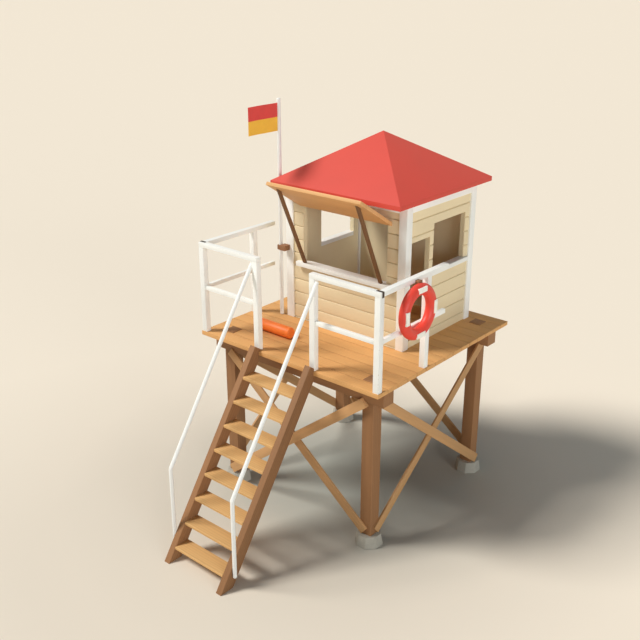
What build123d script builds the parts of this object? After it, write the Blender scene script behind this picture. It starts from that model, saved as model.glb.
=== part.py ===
from build123d import *
import math
import os

os.makedirs("parts", exist_ok=True)

# Axes: +Z up, X along the front, the stair leaves towards -Y, the doorway faces +X.
# Every position below is measured from the middle of the platform, in millimetres.

# Platform
deck_side = 3000.0
deck_top = 2340.0
deck_thick = 55.0
deck_half = deck_side / 2
deck_bottom = deck_top - deck_thick

# Legs and footings
leg_side = 170.0
leg_inset_x = 305.0
leg_inset_y = 300.0
leg_proud = 10.0
foot_height = 160.0
foot_base_r = 190.0
foot_top_r = 160.0
foot_sides = 8
leg_half = leg_side / 2
leg_x = deck_half - leg_inset_x
leg_y = deck_half - leg_inset_y
foot_flat = (foot_base_r - foot_top_r) * math.cos(math.pi / foot_sides)
foot_taper = math.degrees(math.atan2(foot_flat, foot_height))

# Beams and joists under the deck
beam_inset = 62.0
beam_wide = 200.0
beam_deep = 218.0
joist_wide = 60.0
joist_deep = 150.0
joist_inset = 195.0
joist_count = 5
beam_half = deck_half - beam_inset
beam_bottom = deck_bottom - beam_deep
joist_pitch = 2 * (leg_x - joist_inset) / (joist_count - 1)

# Diagonal braces: their centre lines run from one leg's foot to the other leg's head
brace_wide = 128.0
brace_thick = 30.0
brace_foot_z = 218.0
brace_foot_in = 5.0
brace_head_in = 27.0
packer_long = 150.0

# Guard rail
post_side = 80.0
post_inset = 10.0
post_tall = 1197.0
top_rail_tall = 60.0
mid_rail_up = 605.0
mid_rail_tall = 55.0
mid_rail_deep = 50.0
mid_post_ahead = 188.0
rail_past = 215.0
strap_thick = 4.0
strap_wide = 36.0
strap_long = 88.0
strap_drop = 68.0
strap_back = 10.0
post_half = post_side / 2
post_out = deck_half - post_inset
post_mid = post_out - post_half
post_top = deck_top + post_tall
rail_up = post_top + top_rail_tall
mid_rail_z = deck_top + mid_rail_up

# Stair
stair_foot_y = -3200.0
stair_half = 512.0
stair_side_thick = 88.0
stair_side_deep = 170.0
stair_head_out = 60.0
stair_head_up = 87.2
tread_count = 8
tread_first = 194.0
tread_last_drop = 251.8
tread_thick = 40.0
tread_deep = 217.0
tread_nose = 4.0
stair_head_y = -deck_half - stair_head_out
stair_head_z = deck_top + stair_head_up
stair_tilt = math.atan2(stair_head_z, stair_head_y - stair_foot_y)
tread_rise = (deck_top - tread_last_drop - tread_first) / (tread_count - 1)
tread_half = stair_half - stair_side_thick
stair_post_x = stair_half - post_half

# Round handrails beside the stair
hand_r = 26.0
hand_foot_in = 220.0
hand_foot_z = 155.0
hand_kink_in = 228.0
hand_kink_z = 1232.0
hand_top_in = 28.0
hand_top_drop = 32.0
hand_bend = 70.0
hand_edge = 6.0

# Hut
hut_side_gap = 500.0
hut_back_gap = 220.0
hut_deep = 1600.0
hut_post = 120.0
hut_tall = 1917.0
plate_tall = 100.0
plate_deep = 80.0
wall_inset = 20.0
wall_thick = 70.0
hut_x = deck_half - hut_side_gap
hut_back = deck_half - hut_back_gap
hut_front = hut_back - hut_deep
hut_top = deck_top + hut_tall
wall_top = hut_top - plate_tall
wall_x = hut_x - hut_post
wall_y0 = hut_front + hut_post
wall_y1 = hut_back - hut_post
front_face = hut_front + wall_inset
back_face = hut_back - wall_inset
side_face = hut_x - wall_inset
mid_post_y = hut_front - mid_post_ahead
rail_end_y = hut_front + rail_past

# Openings in the walls
front_win_in = 300.0
front_win_up = 800.0
front_win_tall = 840.0
side_win_in = 105.0
side_win_up = 885.0
side_win_tall = 690.0
door_wide = 430.0
door_up = 100.0
door_tall = 1320.0
door_win_gap = 85.0
front_win_x = hut_x - front_win_in
front_win_low = deck_top + front_win_up
front_win_high = front_win_low + front_win_tall
door_y1 = wall_y0 + door_wide
side_win_y0 = door_y1 + door_win_gap
side_win_y1 = wall_y1 - side_win_in
side_win_low = deck_top + side_win_up
side_win_high = side_win_low + side_win_tall
door_low = deck_top + door_up
door_high = door_low + door_tall

# Sills
sill_out = 70.0
sill_over = 85.0
sill_tall = 65.0
side_sill_out = 40.0
side_sill_over = 80.0
side_sill_tall = 60.0

# Roof
eaves_x = 56.0
eaves_y = 256.0
roof_shift = 20.0
roof_band = 60.0
roof_tall = 694.0
roof_skin = 70.0
roof_tip = 4.0
roof_x = hut_x + eaves_x
roof_deep = hut_deep / 2 + eaves_y
roof_y = (hut_front + hut_back) / 2 + roof_shift
roof_apex = hut_top + roof_tall

# Window shutter held up by two struts
shutter_over = 60.0
shutter_thick = 45.0
shutter_lap = 10.0
shutter_reach = 655.0
shutter_rise = 405.0
strut_side = 40.0
strut_in = 60.0
strut_foot_out = 40.0
strut_head_out = 540.0
shutter_x = front_win_x + shutter_over
shutter_low_z = front_win_high - shutter_lap
shutter_pitch = shutter_rise / shutter_reach
strut_x = front_win_x - strut_in

# Flagpole, its bracket and the flag
pole_r = 27.0
pole_gap = 5.0
pole_ahead = 17.0
pole_tall = 3020.0
pole_cap = 16.0
bracket_up = 983.0
bracket_tall = 72.0
bracket_wide = 93.0
bracket_out = 102.0
bracket_past = 30.0
collar_wall = 8.0
collar_tall = 66.0
collar_low = 18.0
flag_fly = 546.0
flag_tall = 362.0
flag_drop = 60.0
flag_thick = 6.0
pole_x = -roof_x - pole_gap - pole_r
pole_y = hut_front - pole_ahead
pole_top = deck_top + pole_tall
bracket_z = deck_top + bracket_up
collar_z = bracket_z - collar_low
collar_half = pole_r + collar_wall

# Life ring hung outside the right-hand guard rail
ring_r = 274.0
ring_half_wide = 74.0
ring_half_thick = 64.0
ring_up = 12.0
ring_sides = 12
ring_ahead = 327.0
ring_gap = 0.3
pad_long = 168.0
pad_wide = 63.0
pad_out = 9.0
pad_proud = 4.0
peg_wide = 66.0
peg_long = 50.0
peg_behind = 46.0
peg_bite = 10.0
peg_drop = 25.0
ring_crown = ring_r + ring_half_wide
ring_x = post_out + ring_gap + ring_half_thick
ring_y = mid_post_y - ring_ahead
ring_z = post_top + ring_up - ring_crown
peg_y = ring_y + peg_behind

# Rescue tube lying on the deck
tube_r = 77.5
tube_long = 615.0
tube_in_x = 510.0
tube_in_y = 580.0
tube_edge = 30.0
tube_steps = 4
tube_x = -deck_half + tube_in_x
tube_y = -deck_half + tube_in_y

# The model is moved so that the middle of its footprint stands at the origin
x_low = -deck_half
x_high = ring_x + ring_half_thick + pad_proud
y_low = stair_foot_y
y_high = roof_y + roof_deep
centre_x = (x_low + x_high) / 2
centre_y = (y_low + y_high) / 2

# How far a cut runs past the piece it goes through
cut_past = 1.0


def at(x, y, z):
    return (x - centre_x, y - centre_y, z)


def block(x0, x1, y0, y1, z0, z1, mode=Mode.ADD):
    # One box between six named faces, inside the open part
    with Locations(at((x0 + x1) / 2, (y0 + y1) / 2, (z0 + z1) / 2)):
        Box(abs(x1 - x0), abs(y1 - y0), abs(z1 - z0), mode=mode)


def leg_block(sx, sy, z0, z1, mode=Mode.ADD):
    # A box with one leg's section, for the leg itself and for the holes it goes through
    block(
        sx * leg_x - leg_half,
        sx * leg_x + leg_half,
        sy * leg_y - leg_half,
        sy * leg_y + leg_half,
        z0,
        z1,
        mode,
    )


def beam_block(sy, mode=Mode.ADD):
    # The box of the front or back beam, for the beam and for what is cut round it
    block(
        -beam_half,
        beam_half,
        sy * leg_y - beam_wide / 2,
        sy * leg_y + beam_wide / 2,
        beam_bottom,
        deck_bottom,
        mode,
    )


def side_plane(x):
    # Local x runs along the part's +Y and local y runs up
    return Plane(origin=at(x, 0, 0), x_dir=(0, 1, 0), z_dir=(1, 0, 0))


def front_plane(y):
    # Local x runs along the part's +X and local y runs up, seen from the front
    return Plane(origin=at(0, y, 0), x_dir=(1, 0, 0), z_dir=(0, -1, 0))


def save(builder, name):
    builder.part.label = name
    export_step(builder.part, "parts/" + name + ".step")


SIDES = (("left", -1), ("right", 1))
ENDS = (("front", -1), ("back", 1))

# Footings: tapered octagonal pads
with BuildPart() as footings:
    for sx in (-1, 1):
        for sy in (-1, 1):
            pad = Plane(at(sx * leg_x, sy * leg_y, 0))
            with BuildSketch(pad):
                RegularPolygon(foot_base_r, foot_sides, rotation=180 / foot_sides)
            extrude(amount=foot_height, taper=foot_taper)
save(footings, "footings")

# Legs: square posts that end just proud of the deck
for side, sx in SIDES:
    for end, sy in ENDS:
        with BuildPart() as leg:
            leg_block(sx, sy, foot_height, deck_top + leg_proud)
            chamfer(leg.faces().sort_by(Axis.Z)[-1].edges(), leg_proud / 2)
        save(leg, "leg_" + end + "_" + side)

# Beams: mortised over the legs
for end, sy in ENDS:
    with BuildPart() as beam:
        beam_block(sy)
        for sx in (-1, 1):
            leg_block(sx, sy, beam_bottom - cut_past, deck_bottom + cut_past, Mode.SUBTRACT)
    save(beam, end + "_beam")

# Joists between the two beams
with BuildPart() as joists:
    for i in range(joist_count):
        x = (i - (joist_count - 1) / 2) * joist_pitch
        block(
            x - joist_wide / 2,
            x + joist_wide / 2,
            -leg_y + beam_wide / 2,
            leg_y - beam_wide / 2,
            deck_bottom - joist_deep,
            deck_bottom,
        )
save(joists, "joists")

# Deck plate with the four leg tops let through it
with BuildPart() as deck:
    block(-deck_half, deck_half, -deck_half, deck_half, deck_bottom, deck_top)
    for sx in (-1, 1):
        for sy in (-1, 1):
            leg_block(sx, sy, deck_bottom - cut_past, deck_top + cut_past, Mode.SUBTRACT)
save(deck, "deck")


def outward(side, away):
    # A drawing plane on one side of the tower, away from the legs' outer faces.
    # Its local x runs to the right when that side is seen from outside.
    turn = {"front": 0, "right": 90, "back": 180, "left": 270}[side]
    reach = leg_half + away + (leg_y if side in ("front", "back") else leg_x)
    a = math.radians(turn)
    out = (math.sin(a), -math.cos(a), 0)
    along = (math.cos(a), math.sin(a), 0)
    return Plane(origin=at(out[0] * reach, out[1] * reach, 0), x_dir=along, z_dir=out)


def brace_piece(side, away, rises_right, start=0.0, end=1.0):
    # A stretch of one diagonal plank; start and end are shares of its length from the foot
    leg_along = leg_x if side in ("front", "back") else leg_y
    run = 2 * leg_along - brace_foot_in - brace_head_in
    rise = beam_bottom - brace_foot_z
    tilt = math.degrees(math.atan2(rise, run))
    mid = (start + end) / 2
    s = 1 if rises_right else -1
    u = s * (brace_foot_in - leg_along + run * mid)
    with BuildSketch(outward(side, away)) as profile:
        with Locations((u, brace_foot_z + rise * mid)):
            Rectangle(math.hypot(run, rise) * (end - start), brace_wide, rotation=s * tilt)
    extrude(profile.sketch, amount=brace_thick)


def packer_share(side):
    # A packer's length as a share of the plank that it carries
    leg_along = leg_x if side in ("front", "back") else leg_y
    run = 2 * leg_along - brace_foot_in - brace_head_in
    return packer_long / math.hypot(run, beam_bottom - brace_foot_z)


# Which plank of each crossing rises to the right, seen from outside
inner_rises = {"front": False, "right": True, "back": True, "left": True}

# Inner planks lie on the legs: at the front and back their heads are notched over
# the beams' faces, and at the sides they end under the beams
with BuildPart() as inner_braces:
    for side, rises in inner_rises.items():
        brace_piece(side, 0, rises)
    for sy in (-1, 1):
        beam_block(sy, Mode.SUBTRACT)
save(inner_braces, "inner_braces")

# Outer planks cross in front of them; the ones at the sides also end under the beams
with BuildPart() as outer_braces:
    for side, rises in inner_rises.items():
        brace_piece(side, brace_thick, not rises)
    for sy in (-1, 1):
        beam_block(sy, Mode.SUBTRACT)
save(outer_braces, "outer_braces")

# Packers: short pieces between the legs and the ends of the outer planks
with BuildPart() as brace_packers:
    for side, rises in inner_rises.items():
        share = packer_share(side)
        brace_piece(side, 0, not rises, 0, share)
        brace_piece(side, 0, not rises, 1 - share, 1)
    for sy in (-1, 1):
        beam_block(sy, Mode.SUBTRACT)
save(brace_packers, "brace_packers")

# Stringers: raking planks cut level at the foot, square at the head,
# notched over the deck edge and round the stair posts
stair_foot_run = stair_side_deep / math.sin(stair_tilt)
for name, sx in SIDES:
    start = min(sx * tread_half, sx * stair_half)
    with BuildPart() as stringer:
        with BuildSketch(side_plane(start)):
            with BuildLine():
                Polyline(
                    (stair_foot_y, 0),
                    (stair_head_y, stair_head_z),
                    (
                        stair_head_y + stair_side_deep * math.sin(stair_tilt),
                        stair_head_z - stair_side_deep * math.cos(stair_tilt),
                    ),
                    (stair_foot_y + stair_foot_run, 0),
                    close=True,
                )
            make_face()
        extrude(amount=stair_side_thick)
        block(-deck_half, deck_half, -deck_half, 0, 0, deck_top, Mode.SUBTRACT)
        block(
            sx * stair_post_x - post_half,
            sx * stair_post_x + post_half,
            -post_out,
            -post_out + post_side,
            deck_top,
            post_top,
            Mode.SUBTRACT,
        )
    save(stringer, "stringer_" + name)

# Treads: level boards housed between the stringers, nosings on the stringers' front line
for i in range(tread_count):
    top = tread_first + i * tread_rise
    nose = stair_foot_y + (top - tread_thick / 2) / math.tan(stair_tilt)
    with BuildPart() as tread:
        block(-tread_half, tread_half, nose, nose + tread_deep, top - tread_thick, top)
        chamfer(tread.faces().sort_by(Axis.Y)[0].edges().filter_by(Axis.X), tread_nose)
    save(tread, "tread_" + str(i + 1))

# Handrails: bent round bars outside the stringers, fixed to the stair posts
with BuildPart() as handrails:
    for sx in (-1, 1):
        with BuildLine(side_plane(sx * (stair_half + hand_r))) as path:
            FilletPolyline(
                (stair_foot_y + hand_foot_in, hand_foot_z),
                (stair_foot_y + hand_kink_in, hand_kink_z),
                (-post_out + hand_top_in, post_top - hand_top_drop),
                radius=hand_bend,
            )
        with BuildSketch(Plane(origin=path.line @ 0, z_dir=path.line % 0)) as bar:
            Circle(hand_r)
        sweep(bar.sketch, path=path.line)
    rims = handrails.edges().filter_by(GeomType.CIRCLE).sort_by(Axis.Z)
    chamfer(rims[:2] + rims[-2:], hand_edge)
save(handrails, "handrails")

# Guard rail posts
with BuildPart() as rail_posts:
    for sx in (-1, 1):
        for px, py in ((post_mid, -post_mid), (stair_post_x, -post_mid), (post_mid, mid_post_y)):
            block(
                sx * px - post_half,
                sx * px + post_half,
                py - post_half,
                py + post_half,
                deck_top,
                post_top,
            )
save(rail_posts, "rail_posts")

# Top rails: the front pieces run to the corners, the side pieces butt behind them
with BuildPart() as front_top_rails:
    for sx in (-1, 1):
        block(
            sx * (stair_post_x - post_half),
            sx * post_out,
            -post_out,
            -post_out + post_side,
            post_top,
            rail_up,
        )
save(front_top_rails, "front_top_rails")

with BuildPart() as side_top_rails:
    for sx in (-1, 1):
        block(
            sx * (post_out - post_side),
            sx * post_out,
            -post_out + post_side,
            rail_end_y,
            post_top,
            rail_up,
        )
save(side_top_rails, "side_top_rails")

# Mid rails between the posts, two at the front and two runs on each side
with BuildPart() as mid_rails:
    for sx in (-1, 1):
        block(
            sx * (stair_post_x + post_half),
            sx * (post_mid - post_half),
            -post_mid - mid_rail_deep / 2,
            -post_mid + mid_rail_deep / 2,
            mid_rail_z,
            mid_rail_z + mid_rail_tall,
        )
        for y0, y1 in (
            (-post_mid + post_half, mid_post_y - post_half),
            (mid_post_y + post_half, rail_end_y),
        ):
            block(
                sx * (post_mid - mid_rail_deep / 2),
                sx * (post_mid + mid_rail_deep / 2),
                y0,
                y1,
                mid_rail_z,
                mid_rail_z + mid_rail_tall,
            )
save(mid_rails, "mid_rails")

# Corner straps: bent steel strips over the two outer corners of the top rail
with BuildPart() as corner_straps:
    strap_y = -post_mid + strap_back
    for sx in (-1, 1):
        block(
            sx * (post_out - strap_long),
            sx * (post_out + strap_thick),
            strap_y - strap_wide / 2,
            strap_y + strap_wide / 2,
            rail_up,
            rail_up + strap_thick,
        )
        block(
            sx * post_out,
            sx * (post_out + strap_thick),
            strap_y - strap_wide / 2,
            strap_y + strap_wide / 2,
            rail_up - strap_drop,
            rail_up,
        )
save(corner_straps, "corner_straps")

# Hut corner posts
with BuildPart() as hut_posts:
    for sx in (-1, 1):
        for y0 in (hut_front, wall_y1):
            block(sx * wall_x, sx * hut_x, y0, y0 + hut_post, deck_top, hut_top)
save(hut_posts, "hut_posts")

# Front wall with the large serving window
with BuildPart() as front_wall:
    block(-wall_x, wall_x, front_face, front_face + wall_thick, deck_top, wall_top)
    block(
        -front_win_x,
        front_win_x,
        front_face - cut_past,
        front_face + wall_thick + cut_past,
        front_win_low,
        front_win_high,
        Mode.SUBTRACT,
    )
save(front_wall, "front_wall")

# Back wall, plain
with BuildPart() as back_wall:
    block(-wall_x, wall_x, back_face - wall_thick, back_face, deck_top, wall_top)
save(back_wall, "back_wall")

# Side walls, each with a window, the right one also with the doorway
for name, sx in SIDES:
    with BuildPart() as wall:
        block(
            sx * (side_face - wall_thick),
            sx * side_face,
            wall_y0,
            wall_y1,
            deck_top,
            wall_top,
        )
        block(
            sx * (side_face - wall_thick - cut_past),
            sx * (side_face + cut_past),
            side_win_y0,
            side_win_y1,
            side_win_low,
            side_win_high,
            Mode.SUBTRACT,
        )
        if name == "right":
            block(
                sx * (side_face - wall_thick - cut_past),
                sx * (side_face + cut_past),
                wall_y0 - cut_past,
                door_y1,
                door_low,
                door_high,
                Mode.SUBTRACT,
            )
    save(wall, name + "_wall")

# Wall plates between the post heads, under the roof
with BuildPart() as wall_plates:
    block(-wall_x, wall_x, hut_front, hut_front + plate_deep, wall_top, hut_top)
    block(-wall_x, wall_x, hut_back - plate_deep, hut_back, wall_top, hut_top)
    for sx in (-1, 1):
        block(
            sx * (hut_x - plate_deep),
            sx * hut_x,
            wall_y0,
            wall_y1,
            wall_top,
            hut_top,
        )
save(wall_plates, "wall_plates")

# Front sill: an outer board and a tongue that fills the foot of the opening
with BuildPart() as front_sill:
    block(
        -front_win_x - sill_over,
        front_win_x + sill_over,
        front_face - sill_out,
        front_face,
        front_win_low,
        front_win_low + sill_tall,
    )
    block(
        -front_win_x,
        front_win_x,
        front_face,
        front_face + wall_thick,
        front_win_low,
        front_win_low + sill_tall,
    )
save(front_sill, "front_sill")

# Side sills made the same way
with BuildPart() as side_sills:
    for sx in (-1, 1):
        block(
            sx * side_face,
            sx * (side_face + side_sill_out),
            side_win_y0 - side_sill_over,
            side_win_y1 + side_sill_over,
            side_win_low,
            side_win_low + side_sill_tall,
        )
        block(
            sx * (side_face - wall_thick),
            sx * side_face,
            side_win_y0,
            side_win_y1,
            side_win_low,
            side_win_low + side_sill_tall,
        )
save(side_sills, "side_sills")


def crossed_gables(half_x, half_y, base, apex):
    # What two gables across each other share is a four-sided pyramid with a small flat tip
    tip = roof_tip / 2 / half_x
    tip_z = apex - (apex - base) * tip
    with BuildSketch(side_plane(0)) as long_gable:
        with BuildLine():
            Polyline(
                (roof_y - half_y, base),
                (roof_y - half_y * tip, tip_z),
                (roof_y + half_y * tip, tip_z),
                (roof_y + half_y, base),
                close=True,
            )
        make_face()
    extrude(long_gable.sketch, amount=half_x, both=True)
    with BuildSketch(front_plane(roof_y)) as cross_gable:
        with BuildLine():
            Polyline(
                (-half_x, base),
                (-half_x * tip, tip_z),
                (half_x * tip, tip_z),
                (half_x, base),
                close=True,
            )
        make_face()
    extrude(cross_gable.sketch, amount=half_y, both=True, mode=Mode.INTERSECT)


# Roof: a pyramid with an upright edge band, hollow above the wall plates
void_share = (roof_tall - roof_skin) / (roof_tall - roof_band)
with BuildPart() as roof_void:
    crossed_gables(roof_x * void_share, roof_deep * void_share, hut_top, roof_apex - roof_skin)
    block(
        -hut_x + plate_deep,
        hut_x - plate_deep,
        hut_front + plate_deep,
        hut_back - plate_deep,
        hut_top,
        roof_apex,
        Mode.INTERSECT,
    )

with BuildPart() as roof_slopes:
    crossed_gables(roof_x, roof_deep, hut_top + roof_band, roof_apex)

with BuildPart() as roof:
    block(
        -roof_x,
        roof_x,
        roof_y - roof_deep,
        roof_y + roof_deep,
        hut_top,
        hut_top + roof_band,
    )
    add(roof_slopes.part)
    add(roof_void.part, mode=Mode.SUBTRACT)
save(roof, "roof")

# Shutter: held open above the serving window, its inner end cut upright on the wall
shutter_tilt = math.atan(shutter_pitch)
lip_y = shutter_thick * math.sin(shutter_tilt)
lip_z = shutter_thick * math.cos(shutter_tilt)
with BuildPart() as shutter:
    with BuildSketch(side_plane(-shutter_x)):
        with BuildLine():
            Polyline(
                (front_face, shutter_low_z),
                (front_face - shutter_reach, shutter_low_z + shutter_rise),
                (
                    front_face - shutter_reach + lip_y,
                    shutter_low_z + shutter_rise + lip_z,
                ),
                (front_face, shutter_low_z + lip_z + lip_y * shutter_pitch),
                close=True,
            )
        make_face()
    extrude(amount=2 * shutter_x)
save(shutter, "shutter")

# Struts from the sill to the shutter, cut to both
strut_foot_y = front_face - strut_foot_out
strut_head_y = front_face - strut_head_out
strut_foot_z = front_win_low + sill_tall
strut_head_z = shutter_low_z + strut_head_out * shutter_pitch
strut_pitch = (strut_head_z - strut_foot_z) / (strut_head_y - strut_foot_y)
strut_half = strut_side / 2 / abs(math.sin(math.atan(strut_pitch)))


def strut_edge(offset):
    # Where one long edge of the strut meets the underside of the shutter
    foot = strut_foot_y + offset - front_face
    y = (shutter_low_z - strut_foot_z + strut_pitch * foot) / (strut_pitch + shutter_pitch)
    return (front_face + y, shutter_low_z - y * shutter_pitch)


with BuildPart() as shutter_struts:
    for sx in (-1, 1):
        with BuildSketch(side_plane(sx * strut_x - strut_side / 2)):
            with BuildLine():
                Polyline(
                    (strut_foot_y - strut_half, strut_foot_z),
                    strut_edge(-strut_half),
                    strut_edge(strut_half),
                    (strut_foot_y + strut_half, strut_foot_z),
                    close=True,
                )
            make_face()
        extrude(amount=strut_side)
save(shutter_struts, "shutter_struts")

# Flagpole with a rounded cap
with BuildPart() as flagpole:
    with Locations(at(pole_x, pole_y, (deck_top + pole_top) / 2)):
        Cylinder(pole_r, pole_top - deck_top)
    fillet(flagpole.edges().sort_by(Axis.Z)[-1], pole_cap)
save(flagpole, "flagpole")

# Bracket: a block on the front of the hut's corner post and a collar round the pole
with BuildPart() as pole_bracket:
    bracket_x = -hut_x - bracket_past
    block(
        bracket_x,
        bracket_x + bracket_wide,
        hut_front - bracket_out,
        hut_front,
        bracket_z,
        bracket_z + bracket_tall,
    )
    block(
        pole_x - collar_half,
        -hut_x,
        pole_y - collar_half,
        pole_y + collar_half,
        collar_z,
        collar_z + collar_tall,
    )
    with Locations(at(pole_x, pole_y, collar_z + collar_tall / 2)):
        Cylinder(pole_r, bracket_tall + 2 * collar_tall, mode=Mode.SUBTRACT)
save(pole_bracket, "pole_bracket")

# Flag: a flat cloth flying from the pole towards the front
with BuildPart() as flag:
    flag_top = pole_top - flag_drop
    block(
        pole_x - flag_thick / 2,
        pole_x + flag_thick / 2,
        pole_y - pole_r - flag_fly,
        pole_y - pole_r,
        flag_top - flag_tall,
        flag_top,
    )
save(flag, "flag")

# Life ring: an oval section on ring_sides flat sides, turned about an axis along X
with BuildPart() as life_ring:
    section = Plane(origin=at(ring_x, ring_y, ring_z), x_dir=(0, 1, 0), z_dir=(0, 0, -1))
    oval = []
    for i in range(ring_sides):
        a = 2 * math.pi * i / ring_sides
        oval.append((ring_r + ring_half_wide * math.cos(a), ring_half_thick * math.sin(a)))
    with BuildSketch(section):
        with BuildLine():
            Polyline(*oval, close=True)
        make_face()
    revolve(axis=Axis(section.origin, (1, 0, 0)))
save(life_ring, "life_ring")

# Ring pads: four blocks let on to the ring's outer face
with BuildPart() as ring_pads:
    for i in range(4):
        a = math.radians(90 * i)
        pad = Plane(
            origin=at(
                ring_x,
                ring_y + (ring_r + pad_out) * math.cos(a),
                ring_z + (ring_r + pad_out) * math.sin(a),
            ),
            x_dir=(0, math.cos(a), math.sin(a)),
            z_dir=(1, 0, 0),
        )
        with BuildSketch(pad):
            Rectangle(pad_wide, pad_long)
        extrude(amount=ring_half_thick + pad_proud)
    add(life_ring.part, mode=Mode.SUBTRACT)
save(ring_pads, "ring_pads")

# Ring peg: a stub on the top rail, let down on to the crown of the ring
with BuildPart() as ring_peg:
    block(
        post_out,
        post_out + peg_long,
        peg_y - peg_wide / 2,
        peg_y + peg_wide / 2,
        ring_z + ring_crown - peg_bite,
        rail_up - peg_drop,
    )
    add(life_ring.part, mode=Mode.SUBTRACT)
save(ring_peg, "ring_peg")

# Rescue tube: a foam cylinder, its two ends rounded in tube_steps short bevels
with BuildPart() as rescue_tube:
    along = Plane(
        origin=at(tube_x, tube_y, deck_top + tube_r),
        x_dir=(1, 0, 0),
        z_dir=(0, -1, 0),
    )
    near_end = []
    far_end = []
    for i in range(tube_steps + 1):
        a = math.pi / 2 * i / tube_steps
        inset = tube_edge * (1 - math.sin(a))
        reach = tube_r - tube_edge * (1 - math.cos(a))
        near_end.append((inset, reach))
        far_end.append((tube_long - inset, reach))
    with BuildSketch(along):
        with BuildLine():
            Polyline((0, 0), *reversed(near_end), *far_end, (tube_long, 0), close=True)
        make_face()
    revolve(axis=Axis(along.origin, (1, 0, 0)))
save(rescue_tube, "rescue_tube")
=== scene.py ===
# Looks of the lifeguard tower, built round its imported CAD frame. Lengths are in metres.
# Axes: +Z up, X along the front, the stair leaves towards -Y, the doorway faces +X.
import math
import random

import bmesh
import bpy
from mathutils import Matrix, Vector
from mathutils.bvhtree import BVHTree


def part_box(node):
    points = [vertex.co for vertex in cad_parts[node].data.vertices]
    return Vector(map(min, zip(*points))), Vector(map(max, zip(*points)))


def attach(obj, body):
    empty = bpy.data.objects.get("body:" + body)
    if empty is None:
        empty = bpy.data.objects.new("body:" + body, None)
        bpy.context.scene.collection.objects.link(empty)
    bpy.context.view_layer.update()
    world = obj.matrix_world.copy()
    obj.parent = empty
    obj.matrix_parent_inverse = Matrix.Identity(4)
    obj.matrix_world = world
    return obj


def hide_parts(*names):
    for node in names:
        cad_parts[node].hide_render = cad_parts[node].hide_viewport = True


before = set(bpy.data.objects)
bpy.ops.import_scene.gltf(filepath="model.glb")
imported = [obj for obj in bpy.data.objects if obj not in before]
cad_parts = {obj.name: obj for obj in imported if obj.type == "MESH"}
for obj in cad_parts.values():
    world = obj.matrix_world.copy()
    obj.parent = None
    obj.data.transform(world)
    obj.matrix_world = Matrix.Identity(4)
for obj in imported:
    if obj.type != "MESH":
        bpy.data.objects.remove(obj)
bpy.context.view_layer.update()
random.seed(7)

X = Vector((1, 0, 0))
Y = Vector((0, 1, 0))
Z = Vector((0, 0, 1))

# Points nearer than CLOSE are one point, and a grid has no line nearer than LINE_GAP to its ends
CLOSE = 1e-5
LINE_GAP = 1e-4
# Faces that meet under FLAT are one flat face, and edges over SHARP are rounded
FLAT = math.radians(0.5)
SHARP = math.radians(25)
# Each solid takes its grain from a place of its own, up to this far along each axis
GRAIN_BLOCK = 40

# The middle of the platform
deck_lo, deck_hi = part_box("deck")
deck_x = (deck_lo[0] + deck_hi[0]) / 2
deck_y = (deck_lo[1] + deck_hi[1]) / 2


# Colours are written as they look on screen and turned into linear values
def rgb(r, g, b):
    def lin(c):
        c = c / 255
        return c / 12.92 if c <= 0.04045 else ((c + 0.055) / 1.055) ** 2.4

    return (lin(r), lin(g), lin(b), 1.0)


def scaled(colour, k):
    return (min(colour[0] * k, 1), min(colour[1] * k, 1), min(colour[2] * k, 1), 1)


def grey(k):
    return (k, k, k, 1)


# Node trees, for the materials and the sky
class Nodes:
    def __init__(self, tree):
        self.tree = tree

    def put(self, value, socket):
        # A socket is linked, and a plain value is set
        if isinstance(value, bpy.types.NodeSocket):
            self.tree.links.new(value, socket)
        else:
            socket.default_value = value

    def add(self, kind, sockets, **settings):
        node = self.tree.nodes.new(kind)
        for key, value in settings.items():
            setattr(node, key, value)
        for key, value in sockets.items():
            self.put(value, node.inputs[key])
        return node

    def math(self, operation, *values, **settings):
        made = self.add("ShaderNodeMath", dict(enumerate(values)), operation=operation, **settings)
        return made.outputs[0]

    def weighted(self, *pairs):
        # The sum of some sockets, each times its weight
        terms = [self.math("MULTIPLY", socket, weight) for socket, weight in pairs]
        total = terms[0]
        for term in terms[1:]:
            total = self.math("ADD", total, term)
        return total


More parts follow.
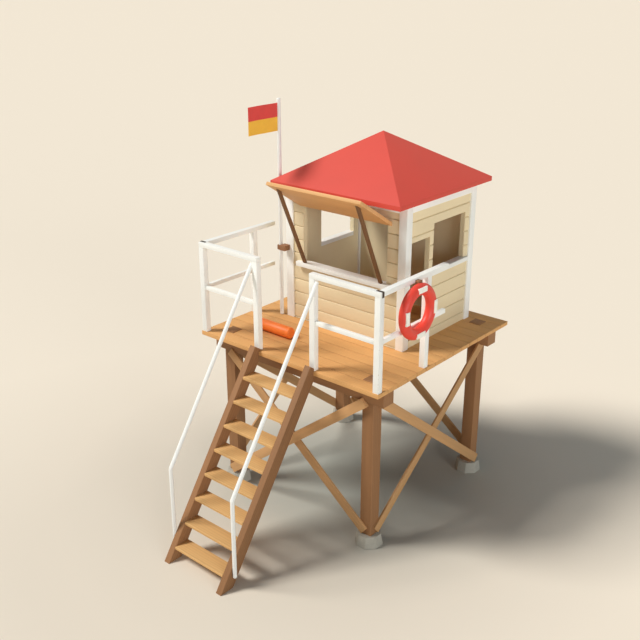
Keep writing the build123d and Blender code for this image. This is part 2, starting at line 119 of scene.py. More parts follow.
class Material(Nodes):
    def __init__(self, name):
        self.mat = bpy.data.materials.new(name)
        self.mat.use_nodes = True
        super().__init__(self.mat.node_tree)

    def stored(self, name, output):
        # A value that finish_solid wrote on the mesh
        return self.add("ShaderNodeAttribute", {}, attribute_name=name).outputs[output]

    def place(self):
        return self.add("ShaderNodeTexCoord", {}).outputs["Object"]

    def stretch(self, vector, along, across):
        # Coordinates scaled along and across the grain
        sockets = {"Vector": vector, "Scale": (along, across, across)}
        return self.add("ShaderNodeMapping", sockets).outputs["Vector"]

    def noise(self, vector, scale, detail, rough, distort=0.0):
        sockets = dict(Vector=vector, Scale=scale, Detail=detail, Roughness=rough, Distortion=distort)
        return self.add("ShaderNodeTexNoise", sockets).outputs["Fac"]

    def bands(self, direction, sockets):
        made = self.add("ShaderNodeTexWave", sockets, wave_type="BANDS", bands_direction=direction)
        return made.outputs["Fac"]

    def span(self, value, low, high):
        sockets = {"Value": value, "To Min": low, "To Max": high}
        return self.add("ShaderNodeMapRange", sockets).outputs["Result"]

    def ramp(self, fac, stops):
        made = self.add("ShaderNodeValToRGB", {"Fac": fac})
        ends = made.color_ramp.elements
        while len(ends) < len(stops):
            ends.new(0.5)
        for end, (at, colour) in zip(ends, stops):
            end.position = at
            end.color = colour
        return made.outputs["Color"]

    def shades(self, fac, tone, *stops):
        # A ramp between darker and lighter shades of one colour
        return self.ramp(fac, [(at, scaled(tone, k)) for at, k in stops])

    def mix(self, fac, a, b, blend="MIX"):
        # The colour sockets of this node share their names with others, so they go by number
        made = self.add("ShaderNodeMix", {0: fac, 6: a, 7: b}, data_type="RGBA", blend_type=blend)
        return made.outputs[2]

    def per_solid(self, body, low, high):
        # Each solid has its own brightness between two shares of the body's
        own = self.ramp(self.stored("tone", "Fac"), [(0, grey(low)), (1, grey(high))])
        return self.mix(1.0, body, own, "MULTIPLY")

    def by_distance(self, middle, reach, stops):
        # A ramp over the distance from one spot
        away = self.add("ShaderNodeVectorMath", {0: self.place(), 1: middle}, operation="DISTANCE")
        return self.ramp(self.math("DIVIDE", away.outputs["Value"], reach), stops)

    def finish(self, sockets, bump=None):
        # Fills the shader's sockets. A bump is a height, a strength and a distance
        shader = self.tree.nodes["Principled BSDF"]
        for key, value in sockets.items():
            self.put(value, shader.inputs[key])
        if bump:
            height, strength, distance = bump
            made = self.add("ShaderNodeBump", dict(Height=height, Strength=strength, Distance=distance))
            self.put(made.outputs["Normal"], shader.inputs["Normal"])
        return self.mat


def wood(name, tone, contrast, roughness, edge=1.12, spread=0.1):
    # Planed timber: long streaks along each board, growth rings and fine pores. Edge is the
    # shade of the arrises, and spread is how far the boards differ
    n = Material(name)
    grain = n.stored("grain", "Vector")
    wide = n.noise(n.stretch(grain, 0.9, 9.0), scale=1.0, detail=4.0, rough=0.55, distort=0.8)
    fine = n.noise(n.stretch(grain, 3.0, 85.0), scale=1.0, detail=3.0, rough=0.6)
    growth = {"Scale": 5.5, "Distortion": 7.0, "Detail": 2.0, "Detail Scale": 0.6}
    rings = n.bands("Y", {"Vector": n.stretch(grain, 0.16, 1.6), **growth})
    streaks = n.weighted((wide, 0.55), (rings, 0.25), (fine, 0.20))
    body = n.shades(streaks, tone, (0.25, 1 - contrast * 1.4), (0.5, 1), (0.78, 1 + contrast))
    body = n.per_solid(body, 1 - spread, 1 + spread)
    rim = n.math("MULTIPLY", n.stored("rim", "Fac"), 0.55)
    return n.finish(
        {
            "Base Color": n.mix(rim, body, scaled(tone, edge)),
            "Roughness": n.span(streaks, roughness - 0.08, roughness + 0.12),
            "Specular IOR Level": 0.28,
        },
        bump=(n.weighted((fine, 0.6), (wide, 0.6)), 0.22, 0.0015),
    )


def painted(name, tone, roughness, spot, worn=None, grain_bump=0.12):
    # Brushed paint over timber or metal: faint brush marks and soft dirt, as strong as spot. Worn is
    # the colour that shows through small chips on the arrises
    n = Material(name)
    grain = n.stored("grain", "Vector")
    brush = n.noise(n.stretch(grain, 2.0, 60.0), scale=1.0, detail=3.0, rough=0.6)
    cloud = n.noise(grain, scale=1.7, detail=3.0, rough=0.5)
    body = n.shades(cloud, tone, (0.3, 1 - spot), (0.7, 1 + spot * 0.6))
    body = n.per_solid(body, 0.95, 1.03)
    if worn:
        specks = n.noise(grain, scale=26.0, detail=5.0, rough=0.7)
        chips = n.ramp(specks, [(0.62, grey(0)), (0.68, grey(1))])
        rim = n.math("MULTIPLY", n.stored("rim", "Fac"), 0.8)
        body = n.mix(n.math("MULTIPLY", rim, chips), body, worn)
    return n.finish(
        {
            "Base Color": body,
            "Roughness": n.span(cloud, roughness - 0.06, roughness + 0.08),
            "Specular IOR Level": 0.35,
        },
        bump=(n.weighted((brush, 0.7), (cloud, 0.3)), grain_bump, 0.001),
    )


def concrete(name, tone):
    # Cast concrete: broad stains and dark grit
    n = Material(name)
    where = n.place()
    cloud = n.noise(where, scale=9.0, detail=5.0, rough=0.6)
    grit = n.noise(where, scale=130.0, detail=3.0, rough=0.7)
    stains = n.shades(cloud, tone, (0.3, 0.86), (0.72, 1.12))
    specks = n.shades(grit, tone, (0.35, 0.7), (0.6, 1.1))
    return n.finish(
        {"Base Color": n.mix(0.35, stains, specks), "Roughness": n.span(grit, 0.8, 0.95)},
        bump=(n.weighted((grit, 0.5), (cloud, 1.0)), 0.5, 0.004),
    )


def plastic(name, tone, roughness):
    # Foam or a moulded shell: an even tone under a very fine skin
    n = Material(name)
    where = n.place()
    cloud = n.noise(where, scale=14.0, detail=3.0, rough=0.5)
    skin = n.noise(where, scale=240.0, detail=2.0, rough=0.5)
    return n.finish(
        {
            "Base Color": n.shades(cloud, tone, (0.3, 0.96), (0.7, 1.04)),
            "Roughness": n.span(cloud, roughness - 0.05, roughness + 0.07),
        },
        bump=(skin, 0.12, 0.0006),
    )


def cloth(name, tone):
    # Plain weave: two fine crossing waves set thread by thread
    n = Material(name)
    where = n.place()
    ways = [n.bands(way, {"Vector": where, "Scale": 260.0}) for way in ("Y", "Z")]
    cloud = n.noise(where, scale=7.0, detail=3.0, rough=0.5)
    return n.finish(
        {
            "Base Color": n.shades(cloud, tone, (0.3, 0.94), (0.7, 1.05)),
            "Roughness": n.span(cloud, 0.7, 0.85),
            "Sheen Weight": 0.15,
        },
        bump=(n.math("MAXIMUM", *ways), 0.25, 0.0004),
    )


def steel(name, tone):
    # Dark strip steel with a blotchy skin
    n = Material(name)
    cloud = n.noise(n.place(), scale=35.0, detail=4.0, rough=0.6)
    return n.finish(
        {
            "Base Color": n.shades(cloud, tone, (0.3, 0.75), (0.7, 1.25)),
            "Roughness": n.span(cloud, 0.42, 0.62),
            "Metallic": 0.35,
        },
        bump=(cloud, 0.2, 0.0008),
    )


TIMBER = wood("timber", rgb(155, 112, 75), contrast=0.12, roughness=0.62)
RAKED = wood("stair_timber", rgb(144, 103, 68), contrast=0.12, roughness=0.62)
BRACE = wood("brace_timber", rgb(196, 151, 103), contrast=0.10, roughness=0.6)
DECKING = wood("deck_timber", rgb(219, 165, 104), contrast=0.06, roughness=0.6, edge=0.8, spread=0.04)
TREAD = wood("tread_timber", rgb(213, 168, 110), contrast=0.08, roughness=0.6, edge=1.04, spread=0.03)
BRACKET = wood("bracket_timber", rgb(144, 103, 73), contrast=0.12, roughness=0.6)
SHUTTER = wood("shutter_timber", rgb(219, 168, 112), contrast=0.10, roughness=0.55)
STRUT = wood("strut_timber", rgb(126, 90, 60), contrast=0.12, roughness=0.55)
WORN_WHITE = rgb(200, 184, 160)
WORN_SAND = rgb(196, 168, 126)
WHITE = painted("white_paint", rgb(248, 248, 242), roughness=0.45, spot=0.05, worn=WORN_WHITE)
TUBE_WHITE = painted("white_metal", rgb(248, 248, 243), roughness=0.36, spot=0.03, grain_bump=0.05)
LINING = painted("lining", rgb(234, 219, 181), roughness=0.7, spot=0.05)
CLADDING = painted("cladding", rgb(234, 216, 178), roughness=0.6, spot=0.04, worn=WORN_SAND, grain_bump=0.2)
ROOF = painted("roof_red", rgb(217, 78, 65), roughness=0.55, spot=0.04, grain_bump=0.08)
CONCRETE = concrete("concrete", rgb(178, 172, 158))
RED = plastic("ring_red", rgb(230, 66, 50), roughness=0.45)
BAND = plastic("ring_white", rgb(250, 248, 236), roughness=0.55)
ORANGE = plastic("tube_orange", rgb(249, 124, 42), roughness=0.5)
STEEL = steel("dark_steel", rgb(62, 54, 48))
FLAG_RED = cloth("flag_red", rgb(226, 74, 68))
FLAG_YELLOW = cloth("flag_yellow", rgb(253, 200, 68))


# Objects and pieces
def put_in_scene(name, data):
    obj = bpy.data.objects.new(name, data)
    bpy.context.scene.collection.objects.link(obj)
    return obj


def mesh_of(bm, name, mats):
    mesh = bpy.data.meshes.new(name)
    bm.normal_update()
    bm.to_mesh(mesh)
    bm.free()
    for mat in mats:
        mesh.materials.append(mat)
    return mesh


def commit(bm, name, mats, node, smooth):
    # A finished piece in the place of its CAD node, smooth up to an angle in degrees
    mesh = mesh_of(bm, name, mats)
    for p in mesh.polygons:
        p.use_smooth = True
    mesh.set_sharp_from_angle(angle=math.radians(smooth))
    obj = put_in_scene(name, mesh)
    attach(obj, "root")
    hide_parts(node)
    return obj


# Mesh helpers
def layers(bm):
    # What the materials read: grain coordinates, a tone for each solid and the rounded arrises
    points = bm.verts.layers.float_vector
    faces = bm.faces.layers.float
    grain = points.get("grain") or points.new("grain")
    tone = faces.get("tone") or faces.new("tone")
    rim = faces.get("rim") or faces.new("rim")
    return grain, tone, rim


def finish_solid(bm, along, across, bevel, segments=2):
    # Rounds the arrises of one closed solid and writes its layers
    grain, tone, rim = layers(bm)
    arrises = set()
    if bevel:
        bm.normal_update()
        sharp = [e for e in bm.edges if e.is_manifold and e.calc_face_angle(0) > SHARP]
        made = bmesh.ops.bevel(
            bm, geom=sharp, offset=bevel, segments=segments, profile=0.6, affect="EDGES", clamp_overlap=True
        )
        arrises = set(made["faces"])
    along = along.normalized()
    side = along.cross(across).normalized()
    up = side.cross(along)
    shift = Vector([random.uniform(0, GRAIN_BLOCK) for _ in range(3)])
    own = random.random()
    for v in bm.verts:
        v[grain] = Vector((v.co.dot(along), v.co.dot(side), v.co.dot(up))) + shift
    for f in bm.faces:
        f[tone] = own
        f[rim] = 1.0 if f in arrises else 0.0


def merge(target, bm):
    # Adds one mesh to another and lets go of it
    mesh = mesh_of(bm, "part", [])
    layers(target)
    target.from_mesh(mesh)
    bpy.data.meshes.remove(mesh)


def shells(node):
    # The separate solids of a CAD node, each with its flat faces merged, sorted by where they are
    def middle(part):
        return tuple(round(sum(v.co[k] for v in part.verts) / len(part.verts), 3) for k in range(3))

    whole = bmesh.new()
    whole.from_mesh(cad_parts[node].data)
    bmesh.ops.remove_doubles(whole, verts=whole.verts, dist=CLOSE)
    bmesh.ops.dissolve_limit(whole, angle_limit=FLAT, verts=whole.verts, edges=whole.edges)
    left = set(whole.verts)
    found = []
    while left:
        stack = [left.pop()]
        island = set(stack)
        while stack:
            for e in stack.pop().link_edges:
                for v in e.verts:
                    if v in left:
                        left.discard(v)
                        island.add(v)
                        stack.append(v)
        ids = {v: i for i, v in enumerate(sorted(island, key=lambda v: v.index))}
        part = bmesh.new()
        new = [part.verts.new(v.co) for v in ids]
        for f in whole.faces:
            if f.verts[0] in ids:
                part.faces.new([new[ids[v]] for v in f.verts])
        found.append(part)
    whole.free()
    found.sort(key=middle)
    return found


def longest(bm):
    edge = max(bm.edges, key=lambda e: round(e.calc_length(), 5))
    return (edge.verts[1].co - edge.verts[0].co).normalized()


def cells(us, vs, keep, w0, w1, to_world):
    # A flat solid made of the kept cells of a grid, between two depths
    bm = bmesh.new()
    cache = {}

    def vert(i, j, k):
        if (i, j, k) not in cache:
            cache[(i, j, k)] = bm.verts.new(to_world(us[i], vs[j], (w0, w1)[k]))
        return cache[(i, j, k)]

    def kept(i, j):
        if i < 0 or j < 0 or i >= len(us) - 1 or j >= len(vs) - 1:
            return False
        return keep((us[i] + us[i + 1]) / 2, (vs[j] + vs[j + 1]) / 2)

    for i in range(len(us) - 1):
        for j in range(len(vs) - 1):
            if not kept(i, j):
                continue
            corners = [(i, j), (i + 1, j), (i + 1, j + 1), (i, j + 1)]
            bm.faces.new([vert(a, b, 1) for a, b in corners])
            bm.faces.new([vert(a, b, 0) for a, b in reversed(corners)])
            neighbours = ((i, j - 1), (i + 1, j), (i, j + 1), (i - 1, j))
            for beside, a, b in zip(neighbours, corners, corners[1:] + corners[:1]):
                if not kept(*beside):
                    bm.faces.new([vert(*a, 0), vert(*b, 0), vert(*b, 1), vert(*a, 1)])
    bmesh.ops.recalc_face_normals(bm, faces=bm.faces)
    bmesh.ops.dissolve_limit(bm, angle_limit=FLAT, verts=bm.verts, edges=bm.edges)
    return bm


def cuts(low, high, lines):
    # The lines of a grid between two ends
    return sorted({low, high, *[c for c in lines if low + LINE_GAP < c < high - LINE_GAP]})


def block(middle, *sides):
    # A block about its middle, whose three sides are vectors
    bm = bmesh.new()
    turn = Matrix(sides).transposed().to_4x4()
    bmesh.ops.create_cube(bm, size=1, matrix=Matrix.Translation(middle) @ turn)
    return bm


def turns(steps):
    return [2 * math.pi * s / steps for s in range(steps)]


def quarter(steps):
    return [math.pi / 2 * s / steps for s in range(steps + 1)]


def skin(bm, rows):
    # Faces between each closed row of points and the next
    for a, b in zip(rows, rows[1:]):
        for s in range(len(a)):
            t = (s + 1) % len(a)
            bm.faces.new([a[s], a[t], b[t], b[s]])


# Deck: boards along X, notched round the leg tops
BOARDS = 15
BOARD_GAP = 0.007
BOARD_ARRIS = 0.003
# The boards' undersides differ by up to this much
SAWN = 0.003
legs = [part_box("leg_" + end + "_" + side) for end in ("front", "back") for side in ("left", "right")]


def clear_of_legs(x, y):
    return not any(lo[0] < x < hi[0] and lo[1] < y < hi[1] for lo, hi in legs)


out = bmesh.new()
pitch = (deck_hi[1] - deck_lo[1] + BOARD_GAP) / BOARDS
xs = cuts(deck_lo[0], deck_hi[0], [corner[0] for leg in legs for corner in leg])
for i in range(BOARDS):
    y0 = deck_lo[1] + i * pitch
    y1 = y0 + pitch - BOARD_GAP
    ys = cuts(y0, y1, [corner[1] for leg in legs for corner in leg])
    low = deck_lo[2] + SAWN * random.random()
    board = cells(xs, ys, clear_of_legs, low, deck_hi[2], lambda u, v, w: (u, v, w))
    finish_solid(board, X, Z, BOARD_ARRIS)
    merge(out, board)
commit(out, "deck_boards", [DECKING], "deck", smooth=30)


# Members that keep their CAD shape, with rounded arrises and a grain of their own
TREADS = 8
# A way whose upward share is over this one is steep
STEEP = 0.7


def dress(node, mat, slot, bevel, along, segments):
    out = bmesh.new()
    for part in shells(node):
        way = along or longest(part)
        across = X if abs(way.z) >= STEEP else Z
        finish_solid(part, way, across, bevel, segments)
        merge(out, part)
    commit(out, "visual_" + node, [mat], node, smooth=30)


# Node, material, slot, radius of the arrises, way of the grain and steps of the rounding.
# With None for its way, the grain runs along each solid's longest edge
MEMBERS = [
    ("leg_front_left", TIMBER, "timber", 0.006, Z, 2),
    ("leg_front_right", TIMBER, "timber", 0.006, Z, 2),
    ("leg_back_left", TIMBER, "timber", 0.006, Z, 2),
    ("leg_back_right", TIMBER, "timber", 0.006, Z, 2),
    ("front_beam", TIMBER, "timber", 0.005, X, 2),
    ("back_beam", TIMBER, "timber", 0.005, X, 2),
    ("joists", TIMBER, "timber", 0.004, Y, 2),
    ("inner_braces", BRACE, "brace_timber", 0.004, None, 2),
    ("outer_braces", BRACE, "brace_timber", 0.004, None, 2),
    ("brace_packers", BRACE, "brace_timber", 0.003, None, 2),
    ("stringer_left", RAKED, "timber", 0.005, None, 2),
    ("stringer_right", RAKED, "timber", 0.005, None, 2),
    *[("tread_%d" % i, TREAD, "deck_timber", 0.005, X, 2) for i in range(1, TREADS + 1)],
    ("rail_posts", WHITE, "white_paint", 0.005, Z, 2),
    ("front_top_rails", WHITE, "white_paint", 0.005, X, 2),
    ("side_top_rails", WHITE, "white_paint", 0.005, Y, 2),
    ("mid_rails", WHITE, "white_paint", 0.004, None, 2),
    ("hut_posts", WHITE, "white_paint", 0.006, Z, 2),
    ("wall_plates", WHITE, "white_paint", 0.004, None, 2),
    ("front_sill", WHITE, "white_paint", 0.005, X, 2),
    ("side_sills", WHITE, "white_paint", 0.005, Y, 2),
    ("footings", CONCRETE, "concrete", 0.008, Z, 2),
    ("corner_straps", STEEL, "dark_steel", 0.001, None, 1),
    ("shutter", SHUTTER, "shutter_timber", 0.005, X, 2),
    ("shutter_struts", STRUT, "shutter_timber", 0.004, None, 2),
    ("pole_bracket", BRACKET, "shutter_timber", 0.003, X, 2),
    ("roof", ROOF, "roof_red", 0.008, X, 3),
]
for member in MEMBERS:
    dress(*member)

# Walls: lapped boards over a plain backing, cut round the openings of the CAD wall
CLAD_THICK = 0.016
CLAD_GAP = 0.008
CLAD_ARRIS = 0.002
# Each board's top edge leans back by LIP, and one that would be lower than CLAD_LEAST is left out
LIP = 0.010
CLAD_LEAST = 0.01


def wall(node, axis, outward, joint, course):
    # The wall faces along axis 0 or 1, or against it where outward is False. Joint is the height at
    # which one of its boards starts, and the others follow up and down from there by one course each
    lo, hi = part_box(node)
    face, inner = (hi[axis], lo[axis]) if outward else (lo[axis], hi[axis])
    back = face - CLAD_THICK if outward else face + CLAD_THICK
    level = 1 - axis
    along = (X, Y)[level]
    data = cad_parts[node].data
    cad_faces = BVHTree.FromPolygons([v.co for v in data.vertices], [p.vertices for p in data.polygons])

    def lines(k):
        return {round(v.co[k], 5) for v in data.vertices}

    def to_world(u, v, w):
        spot = Vector((0, 0, v))
        spot[axis] = w
        spot[level] = u
        return spot

    def solid(u, v):
        # Over an opening the nearest CAD face is some way off
        return cad_faces.find_nearest(to_world(u, v, face))[3] < CLOSE

    out = bmesh.new()
    run = cuts(lo[level], hi[level], lines(level))
    core = cells(run, cuts(lo[2], hi[2], lines(2)), solid, inner, back, to_world)
    finish_solid(core, along, Z, bevel=0)
    merge(out, core)
    for f in out.faces:
        f.material_index = 1
    z = joint - course * math.ceil((joint - lo[2]) / course)
    while z < hi[2] - CLAD_LEAST:
        z0 = max(z, lo[2])
        z1 = min(z + course - CLAD_GAP, hi[2])
        z += course
        if z1 - z0 < CLAD_LEAST:
            continue
        board = cells(run, cuts(z0, z1, lines(2)), solid, back, face, to_world)
        if not board.faces:
            board.free()
            continue
        for v in board.verts:
            if abs(v.co[axis] - face) < CLOSE and v.co.z > z1 - CLOSE and z1 < hi[2]:
                v.co.z -= LIP
        finish_solid(board, along, Z, CLAD_ARRIS)
        merge(out, board)
    commit(out, "clad_" + node, [CLADDING, LINING], node, smooth=30)


wall("front_wall", axis=1, outward=False, joint=2.552, course=0.190)
wall("back_wall", axis=1, outward=True, joint=2.552, course=0.190)
wall("left_wall", axis=0, outward=False, joint=2.465, course=0.1965)
wall("right_wall", axis=0, outward=True, joint=2.465, course=0.1965)

# Round tubes
TUBE_SIDES = 24
BEND_R = 0.07
BEND_STEPS = 12
CAP_STEPS = 5


def bent(points):
    # A line whose inner corners are arcs
    path = [points[0]]
    for before, corner, after in zip(points, points[1:], points[2:]):
        a = (before - corner).normalized()
        b = (after - corner).normalized()
        half = a.angle(b) / 2
        reach = BEND_R / math.tan(half)
        centre = corner + (a + b).normalized() * (BEND_R / math.sin(half))
        start = corner + a * reach - centre
        end = corner + b * reach - centre
        for s in range(BEND_STEPS + 1):
            path.append(centre + start.slerp(end, s / BEND_STEPS).normalized() * BEND_R)
    path.append(points[-1])
    return path


def tube(points, radius, cap):
    # A tube along a bent line, with its two ends rounded by cap
    bm = bmesh.new()
    grain = layers(bm)[0]
    path = bent(points)
    ways = [(b - a).normalized() for a, b in zip(path[:1] + path[:-1], path[1:] + path[-1:])]
    rows = []

    def row(centre, way, r, run):
        up = way.cross(X).normalized()
        verts = []
        for a in turns(TUBE_SIDES):
            v = bm.verts.new(centre + (X * math.cos(a) + up * math.sin(a)) * r)
            v[grain] = Vector((run, a * r, 0))
            verts.append(v)
        rows.append(verts)

    def rounded_end(p, way, inward, angles, run):
        for t in angles:
            row(p + inward * cap * (1 - math.sin(t)), way, radius - cap + cap * math.cos(t), run)

    rounded_end(path[0], ways[0], ways[0], reversed(quarter(CAP_STEPS)), 0)
    run = 0
    for i in range(1, len(path) - 1):
        run += (path[i] - path[i - 1]).length
        row(path[i], ways[i], radius, run)
    run += (path[-1] - path[-2]).length
    rounded_end(path[-1], ways[-1], -ways[-1], quarter(CAP_STEPS), run)
    skin(bm, rows)
    bm.faces.new(list(reversed(rows[0])))
    bm.faces.new(rows[-1])
    bmesh.ops.recalc_face_normals(bm, faces=bm.faces)
    return bm


# Handrails: two tubes, whose line is given by places along Y from the platform's middle and heights
HAND_R = 0.026
HAND_CAP = 0.008
HAND_LINE = ((-2.980, 0.155), (-2.972, 1.232), (-1.462, 3.505))
lo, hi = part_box("handrails")
out = bmesh.new()
for x in (lo[0] + HAND_R, hi[0] - HAND_R):
    merge(out, tube([Vector((x, deck_y + y, z)) for y, z in HAND_LINE], HAND_R, HAND_CAP))
commit(out, "rail_bars", [TUBE_WHITE], "handrails", smooth=40)

# Flagpole
POLE_CAP = 0.015
lo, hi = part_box("flagpole")
pole_x = (lo[0] + hi[0]) / 2
pole_y = (lo[1] + hi[1]) / 2
pole_ends = [Vector((pole_x, pole_y, z)) for z in (lo[2], hi[2])]
pole = tube(pole_ends, (hi[0] - lo[0]) / 2, POLE_CAP)
commit(pole, "pole_bar", [TUBE_WHITE], "flagpole", smooth=40)

# Life ring: an oval section turned about the ring's middle, just inside the CAD ring
RING_INSIDE = 0.0005
RING_HALF_WIDE = 0.0735
RING_STEPS = 120
SECTION_STEPS = 36
lo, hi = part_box("life_ring")
ring_middle = (Vector(lo) + Vector(hi)) / 2
ring_half_thick = (hi[0] - lo[0]) / 2 - RING_INSIDE
ring_r = (hi[1] - lo[1]) / 2 - RING_HALF_WIDE - RING_INSIDE
bm = bmesh.new()
rows = []
for a in turns(RING_STEPS):
    way = Y * math.cos(a) + Z * math.sin(a)
    row = []
    for b in turns(SECTION_STEPS):
        out_by = ring_r + RING_HALF_WIDE * math.cos(b)
        row.append(bm.verts.new(ring_middle + way * out_by + X * (ring_half_thick * math.sin(b))))
    rows.append(row)
skin(bm, rows + rows[:1])
bmesh.ops.recalc_face_normals(bm, faces=bm.faces)
commit(bm, "ring_buoy", [RED], "life_ring", smooth=40)

# Ring pads: rounded blocks let on to the ring's outer face
PADS = 4
PAD_LONG = 0.168
PAD_WIDE = 0.063
PAD_DEEP = 0.030
PAD_OUT = 0.0085
PAD_ARRIS = 0.004
pad_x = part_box("ring_pads")[1][0] - PAD_DEEP / 2
out = bmesh.new()
for a in turns(PADS):
    way = Y * math.cos(a) + Z * math.sin(a)
    side = Z * math.cos(a) - Y * math.sin(a)
    middle = Vector((pad_x, ring_middle.y, ring_middle.z)) + way * (ring_r + PAD_OUT)
    pad = block(middle, X * PAD_DEEP, way * PAD_WIDE, side * PAD_LONG)
    finish_solid(pad, side, X, PAD_ARRIS, segments=3)
    merge(out, pad)
commit(out, "ring_blocks", [BAND], "ring_pads", smooth=40)

# Ring peg: a rounded stub over the crown of the ring
PEG_ARRIS = 0.006
lo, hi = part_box("ring_peg")
size = Vector(hi) - Vector(lo)
peg = block((Vector(lo) + Vector(hi)) / 2, X * size.x, Y * size.y, Z * size.z)
finish_solid(peg, X, Z, PEG_ARRIS, segments=3)
commit(peg, "ring_stub", [BRACKET], "ring_peg", smooth=30)

# Rescue tube: a foam cylinder with rounded ends and a shallow seam groove near each end
FOAM_END = 0.030
FOAM_END_STEPS = 8
FOAM_SIDES = 48
# The groove as distances from the end and depths
GROOVE = ((0.055, 0), (0.060, 0.002), (0.065, 0))
lo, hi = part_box("rescue_tube")
r = (hi[2] - lo[2]) / 2
x_mid, y_mid, z_mid = (Vector(lo) + Vector(hi)) / 2
half = []
for t in quarter(FOAM_END_STEPS):
    half.append((lo[0] + FOAM_END * (1 - math.cos(t)), r - FOAM_END + FOAM_END * math.sin(t)))
half += [(lo[0] + at, r - deep) for at, deep in GROOVE]
bm = bmesh.new()
rows = []
for x, q in half + [(x_mid, r)] + [(2 * x_mid - x, q) for x, q in reversed(half)]:
    circle = [(x, y_mid + q * math.cos(a), z_mid + q * math.sin(a)) for a in turns(FOAM_SIDES)]
    rows.append([bm.verts.new(spot) for spot in circle])
skin(bm, rows)
bm.faces.new(rows[0])
bm.faces.new(rows[-1])
bmesh.ops.recalc_face_normals(bm, faces=bm.faces)
commit(bm, "rescue_foam", [ORANGE], "rescue_tube", smooth=45)

# Flag: one sheet of cloth with a slight wave, red over yellow
COLS = 60
ROWS = 40
CLOTH_THICK = 0.0018
CLOTH_INSIDE = 0.0005
WAVE_DEEP = 0.0072
WAVE_TURN = 7.0
WAVE_LEAN = 1.2
lo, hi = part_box("flag")
x_mid = (lo[0] + hi[0]) / 2
fly = hi[1] - lo[1]
tall = hi[2] - lo[2]
bm = bmesh.new()


def cloth_point(i, j, side):
    # From the pole outwards with i and upwards with j, on one of the cloth's two sides
    u = i / COLS
    v = j / ROWS
    wave = WAVE_DEEP * math.sin(u * WAVE_TURN + v * WAVE_LEAN) * u
    x = x_mid + wave + side * CLOTH_THICK / 2
    y = hi[1] - CLOTH_INSIDE - u * (fly - 2 * CLOTH_INSIDE)
    return bm.verts.new((x, y, lo[2] + v * tall))


def cloth_face(corners, j):
    bm.faces.new(corners).material_index = 0 if j >= ROWS // 2 else 1


grids = []
for side in (-1, 1):
    grids.append([[cloth_point(i, j, side) for j in range(ROWS + 1)] for i in range(COLS + 1)])
for g in grids:
    for i in range(COLS):
        for j in range(ROWS):
            cloth_face([g[i][j], g[i + 1][j], g[i + 1][j + 1], g[i][j + 1]], j)
a, b = grids
for i in range(COLS):
    for j in (0, ROWS):
        cloth_face([a[i][j], a[i + 1][j], b[i + 1][j], b[i][j]], j)
for j in range(ROWS):
    for i in (0, COLS):
        cloth_face([a[i][j], a[i][j + 1], b[i][j + 1], b[i][j]], j)
bmesh.ops.recalc_face_normals(bm, faces=bm.faces)
flag = commit(bm, "flag_sheet", [FLAG_RED, FLAG_YELLOW], "flag", smooth=60)

# Stage: a wide pale floor with painted shade, darker near the tower
STAGE_R = 400
STAGE_DROP = 0.001
FLOOR = rgb(247, 234, 215)
# Painted shade: a broad darker patch in the floor's colour round the front of the stair, standing in for
# the shade the tower throws on the floor near it
WIDE_MIDDLE = (-0.36, -1.62, 0)
WIDE_REACH = 8.0
WIDE_PAINTED_SHADE = ((0.0, 0.86), (0.3, 0.875), (0.5, 0.935), (0.65, 0.97), (0.8, 1.0))
# Painted shade: under the platform the floor's colour is darker and cooler, standing in for the shade
# there, and against the warm light that the timber throws on it
NEAR_REACH = 5.0
UNDER_PAINTED_SHADE = (0.47, 0.55, 0.59)
NEAR_PAINTED_SHADE_RISE = ((0.1, 0), (0.3, 0.25), (0.45, 0.66), (0.6, 0.88), (0.85, 1))


def floor_material():
    n = Material("floor")
    # The floor's colour times its two painted shades, the broad one and the darker one under the platform
    near = [(at, (*[c + (1 - c) * share for c in UNDER_PAINTED_SHADE], 1)) for at, share in NEAR_PAINTED_SHADE_RISE]
    wide = [(at, scaled(FLOOR, k)) for at, k in WIDE_PAINTED_SHADE]
    body = n.mix(
        1.0,
        n.by_distance(WIDE_MIDDLE, WIDE_REACH, wide),
        n.by_distance((deck_x, deck_y, 0), NEAR_REACH, near),
        "MULTIPLY",
    )
    return n.finish({"Base Color": body, "Roughness": 0.95, "Specular IOR Level": 0.05})


bm = bmesh.new()
bmesh.ops.create_circle(bm, cap_ends=True, segments=96, radius=STAGE_R)
floor = put_in_scene("floor", mesh_of(bm, "floor", [floor_material()]))
floor.location.z = -STAGE_DROP

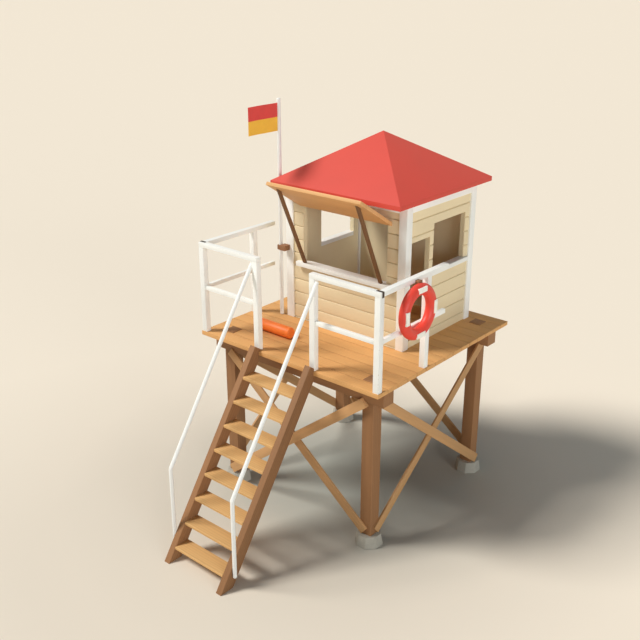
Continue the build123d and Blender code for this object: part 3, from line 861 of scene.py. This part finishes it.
# Sky: a faint blue light, brighter overhead. The camera and shiny things see a pale backdrop instead
SKY = (0.76, 0.90, 1.0, 1)
SKY_LOW = 0.02
SKY_RISE = 0.26
BACKDROP = rgb(242, 232, 213)
world = bpy.data.worlds.new("sky")
bpy.context.scene.world = world
world.use_nodes = True
sky = Nodes(world.node_tree)
direction = sky.add("ShaderNodeTexCoord", {}).outputs["Generated"]
height = sky.add("ShaderNodeSeparateXYZ", {0: direction}).outputs["Z"]
light = sky.tree.nodes["Background"]
sky.put(SKY, light.inputs["Color"])
sky.put(sky.math("MULTIPLY_ADD", height, SKY_RISE, SKY_LOW, use_clamp=True), light.inputs["Strength"])
backdrop = sky.add("ShaderNodeBackground", {"Color": BACKDROP, "Strength": 1.0})
rays = sky.add("ShaderNodeLightPath", {}).outputs
seen = rays["Is Camera Ray"]
for ray in ("Is Glossy Ray", "Is Transmission Ray"):
    seen = sky.math("MAXIMUM", seen, rays[ray])
both = sky.add("ShaderNodeMixShader", {0: seen, 1: light.outputs[0], 2: backdrop.outputs[0]})
sky.put(both.outputs[0], sky.tree.nodes["World Output"].inputs["Surface"])


# Lamps: a soft sun from the left of the view and a low fill from its right
def sun_lamp(name, energy, spread, azimuth, elevation, colour):
    # The angles are in degrees, and the azimuth turns from +X towards +Y
    lamp = bpy.data.lights.new(name, "SUN")
    lamp.energy = energy
    lamp.angle = math.radians(spread)
    lamp.color = colour
    a = math.radians(azimuth)
    h = math.radians(elevation)
    to_sun = Vector((math.cos(h) * math.cos(a), math.cos(h) * math.sin(a), math.sin(h)))
    put_in_scene(name, lamp).rotation_euler = to_sun.to_track_quat("Z", "Y").to_euler()


sun_lamp("sun", energy=3.08, spread=18, azimuth=222, elevation=50, colour=(1.0, 0.98, 0.95))
sun_lamp("low_fill", energy=1.68, spread=30, azimuth=340, elevation=6, colour=(0.91, 0.96, 1.0))

# Camera at the photograph's viewpoint: its place from the middle of the platform, how far it looks
# down and its turn from +Y, in degrees, and its focal length on a 36 mm wide sensor
CAMERA_X = 6.9878
CAMERA_Y = -8.9643
CAMERA_Z = 7.0394
CAMERA_DOWN = 22.108
CAMERA_TURN = 40.490
lens = bpy.data.cameras.new("camera")
lens.lens = 50.11
lens.sensor_width = 36
lens.clip_end = 2000
camera = put_in_scene("camera", lens)
camera.location = (deck_x + CAMERA_X, deck_y + CAMERA_Y, CAMERA_Z)
camera.rotation_euler = (math.radians(90 - CAMERA_DOWN), 0, math.radians(CAMERA_TURN))
bpy.context.scene.camera = camera
bpy.context.scene.view_settings.view_transform = "Standard"
